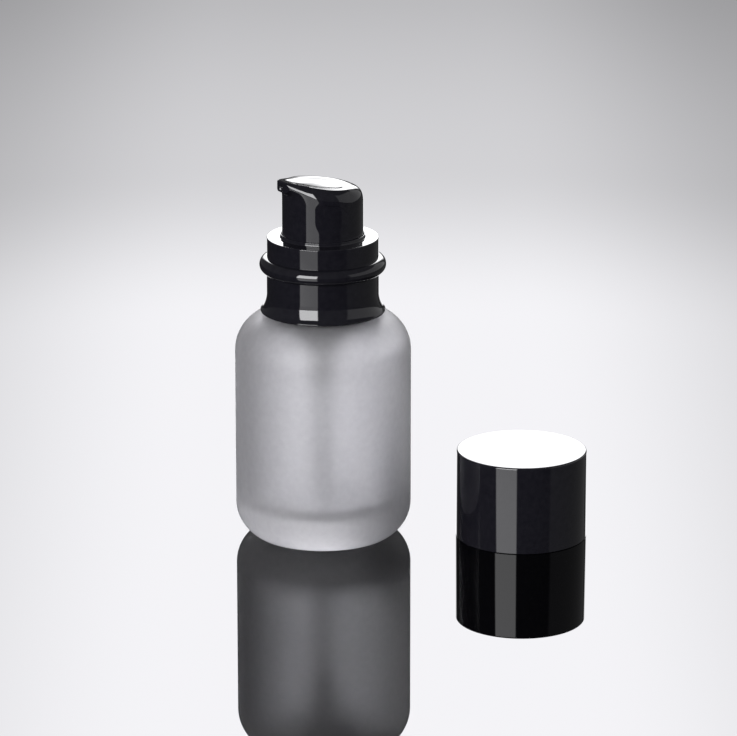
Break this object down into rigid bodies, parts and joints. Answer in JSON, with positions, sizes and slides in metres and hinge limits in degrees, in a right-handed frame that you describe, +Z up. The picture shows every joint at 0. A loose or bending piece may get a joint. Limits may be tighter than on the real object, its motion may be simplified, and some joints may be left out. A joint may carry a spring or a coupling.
{
  "type": "foundation bottle",
  "caption": "Round frosted bottle with a thick base and a push pump: round button with a short spout in a flared collar with a bead, and a plain cylindrical overcap standing beside it.",
  "frame": {"origin": "centre of the bottle's flat base, on the surface it stands on", "axes": "+Z up along the bottle; the spout points along -X; the loose cap stands at +X, -Y"},
  "size_m": [0.0688, 0.0574, 0.0798],
  "materials": {
    "frosted_glass": "acid-frosted outside",
    "black_gloss": "high gloss moulded",
    "black_inner": "moulded satin",
    "white_pp": "moulded satin",
    "natural_pp": "natural translucent",
    "clear_pe": "translucent extruded tube",
    "soft_seal": "soft polyethylene",
    "foam_seal": "foamed polyethylene",
    "spring_steel": "drawn wire",
    "ball_steel": "polished"
  },
  "bodies": {
    "bottle": {"glass_bottle": "frosted_glass"},
    "pump": {"neck_gasket": "foam_seal", "pump_housing": "natural_pp", "stem_guide": "white_pp", "vent_seal": "soft_seal", "dip_tube": "clear_pe"},
    "closure": {"threaded_closure": "white_pp", "collar_shell": "black_gloss"},
    "plunger": {"stem": "natural_pp", "piston_rod": "white_pp", "return_spring": "spring_steel"},
    "button": {"actuator_shell": "black_gloss", "actuator_core": "black_inner"},
    "piston": {"piston": "soft_seal"},
    "ball": {"inlet_ball": "ball_steel"},
    "overcap": {"overcap_shell": "black_gloss", "overcap_liner": "black_inner"}
  },
  "joints": [
    {"name": "closure_turn", "type": "hinge", "parent": "pump", "child": "closure", "pos_m": [0, 0, 0.055], "axis": [0, 0, 1], "range_deg": [0, 450]},
    {"name": "pump_lift", "type": "slide", "parent": "bottle", "child": "pump", "axis": [0, 0, 1], "range_m": [0, 0.0041]},
    {"name": "actuator_press", "type": "slide", "parent": "pump", "child": "plunger", "axis": [0, 0, -1], "range_m": [0, 0.0042], "stiffness_N_per_m": 1200, "springref_m": -0.0006, "deforming": ["return_spring"]},
    {"name": "button_swivel", "type": "hinge", "parent": "plunger", "child": "button", "pos_m": [0, 0, 0.07], "axis": [0, 0, 1], "continuous": true},
    {"name": "piston_slip", "type": "slide", "parent": "plunger", "child": "piston", "axis": [0, 0, 1], "range_m": [0, 0.0006]},
    {"name": "ball_lift", "type": "slide", "parent": "pump", "child": "ball", "axis": [0, 0, 1], "range_m": [0, 0.0012]},
    {"name": "cap_lift", "type": "slide", "parent": "bottle", "child": "overcap", "axis": [0, 0, 1], "range_m": [0, 0.1]}
  ],
  "couplings": [
    {"joint": "pump_lift", "follows": "closure_turn", "m_per_rad": 0.00050532}
  ]
}
